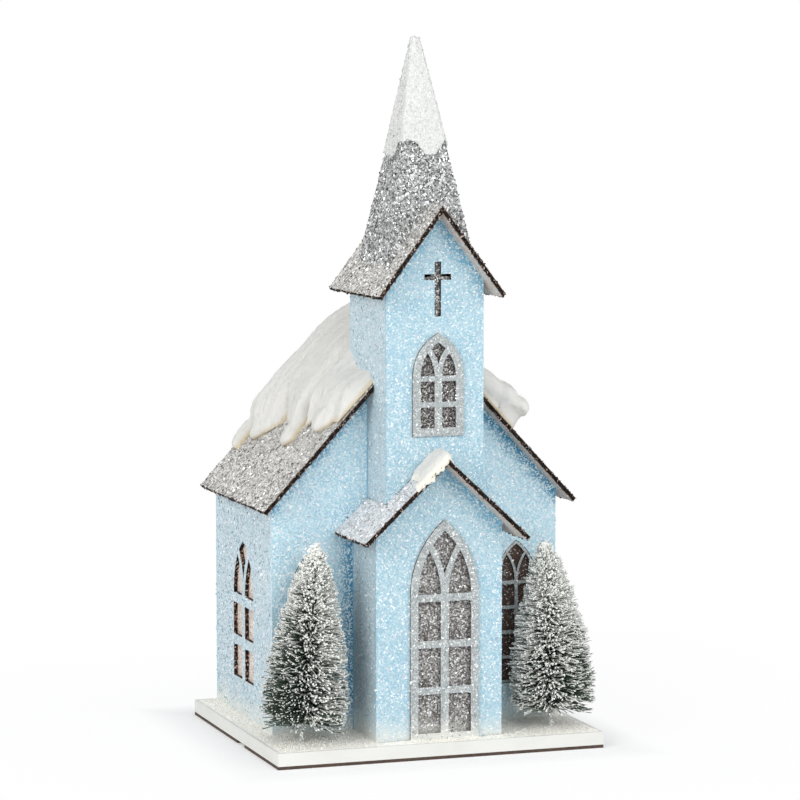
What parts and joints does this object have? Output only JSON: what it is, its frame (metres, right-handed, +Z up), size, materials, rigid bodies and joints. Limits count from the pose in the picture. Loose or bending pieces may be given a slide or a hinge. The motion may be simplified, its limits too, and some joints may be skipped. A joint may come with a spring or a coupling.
{
  "type": "christmas village church",
  "caption": "Light-up glitter village church with a tower, spire, porch, snow and two bottle-brush trees on a flat base.",
  "frame": {"origin": "centre of the base's underside", "axes": "+Z up along the spire, -Y towards the porch and its door, +X to the right seen from the front"},
  "size_m": [0.1586, 0.146, 0.33],
  "materials": {
    "cream_painted_board": "brushed matt paint over fibreboard",
    "brown_board": "bare brown board",
    "strewn_snow": "fine white grains in clear glue",
    "blue_glitter_board": "light blue paint under clear and white glitter, dark cut edges",
    "silver_glitter_roof_board": "silver grey glitter, dark cut edges",
    "cotton_snow": "soft white cotton wadding",
    "brushed_on_snow": "thick matt cream paste",
    "white_flock": "fine white flock",
    "silver_glitter_spire_board": "coarse silver glitter",
    "silver_glitter_frame": "pale silver glitter",
    "dark_glitter_film": "dark translucent film with silver glitter",
    "frosted_wire": "twisted wire, frosted white",
    "flocked_green_bristle": "dark green bristles with white tips",
    "white_plastic": "moulded, fine matt texture",
    "cell_jacket": "plain metal jacket",
    "plated_contact": "bright plated",
    "black_plastic": "moulded",
    "frosted_lamp": "frosted warm white"
  },
  "bodies": {
    "house": {"base_slab": "cream_painted_board", "bottom_board": "brown_board", "ground_snow": "strewn_snow", "nave_front_wall_left": "blue_glitter_board", "nave_front_wall_right": "blue_glitter_board", "nave_back_wall": "blue_glitter_board", "nave_left_wall": "blue_glitter_board", "nave_right_wall": "blue_glitter_board", "nave_roof_left": "silver_glitter_roof_board", "nave_roof_right": "silver_glitter_roof_board", "roof_snow": "cotton_snow", "tower_front_wall": "blue_glitter_board", "tower_back_wall": "blue_glitter_board", "tower_left_wall": "blue_glitter_board", "tower_right_wall": "blue_glitter_board", "tower_roof_left": "silver_glitter_roof_board", "tower_roof_right": "silver_glitter_roof_board", "tower_window_frame": "silver_glitter_frame", "tower_window_film": "dark_glitter_film", "spire_front": "silver_glitter_spire_board", "spire_back": "silver_glitter_spire_board", "spire_left": "silver_glitter_spire_board", "spire_right": "silver_glitter_spire_board", "spire_snow": "white_flock", "porch_front_wall": "blue_glitter_board", "porch_left_wall": "blue_glitter_board", "porch_right_wall": "blue_glitter_board", "porch_roof_left": "silver_glitter_roof_board", "porch_roof_right": "silver_glitter_roof_board", "porch_snow": "brushed_on_snow", "door_frame": "silver_glitter_frame", "door_film": "dark_glitter_film", "front_left_window_frame": "silver_glitter_frame", "front_right_window_frame": "silver_glitter_frame", "front_left_window_film": "dark_glitter_film", "front_right_window_film": "dark_glitter_film", "left_window_film": "dark_glitter_film", "right_window_film": "dark_glitter_film", "left_tree_stem": "frosted_wire", "left_tree_bristles": "flocked_green_bristle", "right_tree_stem": "frosted_wire", "right_tree_bristles": "flocked_green_bristle", "battery_case": "white_plastic", "battery_cells": "cell_jacket", "battery_contacts": "plated_contact", "switch_body": "black_plastic", "lamp": "frosted_lamp", "lamp_leads": "plated_contact"},
    "battery_door": {"battery_door": "white_plastic"},
    "switch_knob": {"switch_knob": "black_plastic"}
  },
  "joints": [
    {"name": "battery_door_hinge", "type": "hinge", "parent": "house", "child": "battery_door", "pos_m": [-0.03035, 0.019, 0.0009], "axis": [0, 1, 0], "range_deg": [0, 100]},
    {"name": "switch_slide", "type": "slide", "parent": "house", "child": "switch_knob", "axis": [1, 0, 0], "range_m": [0, 0.003]}
  ]
}
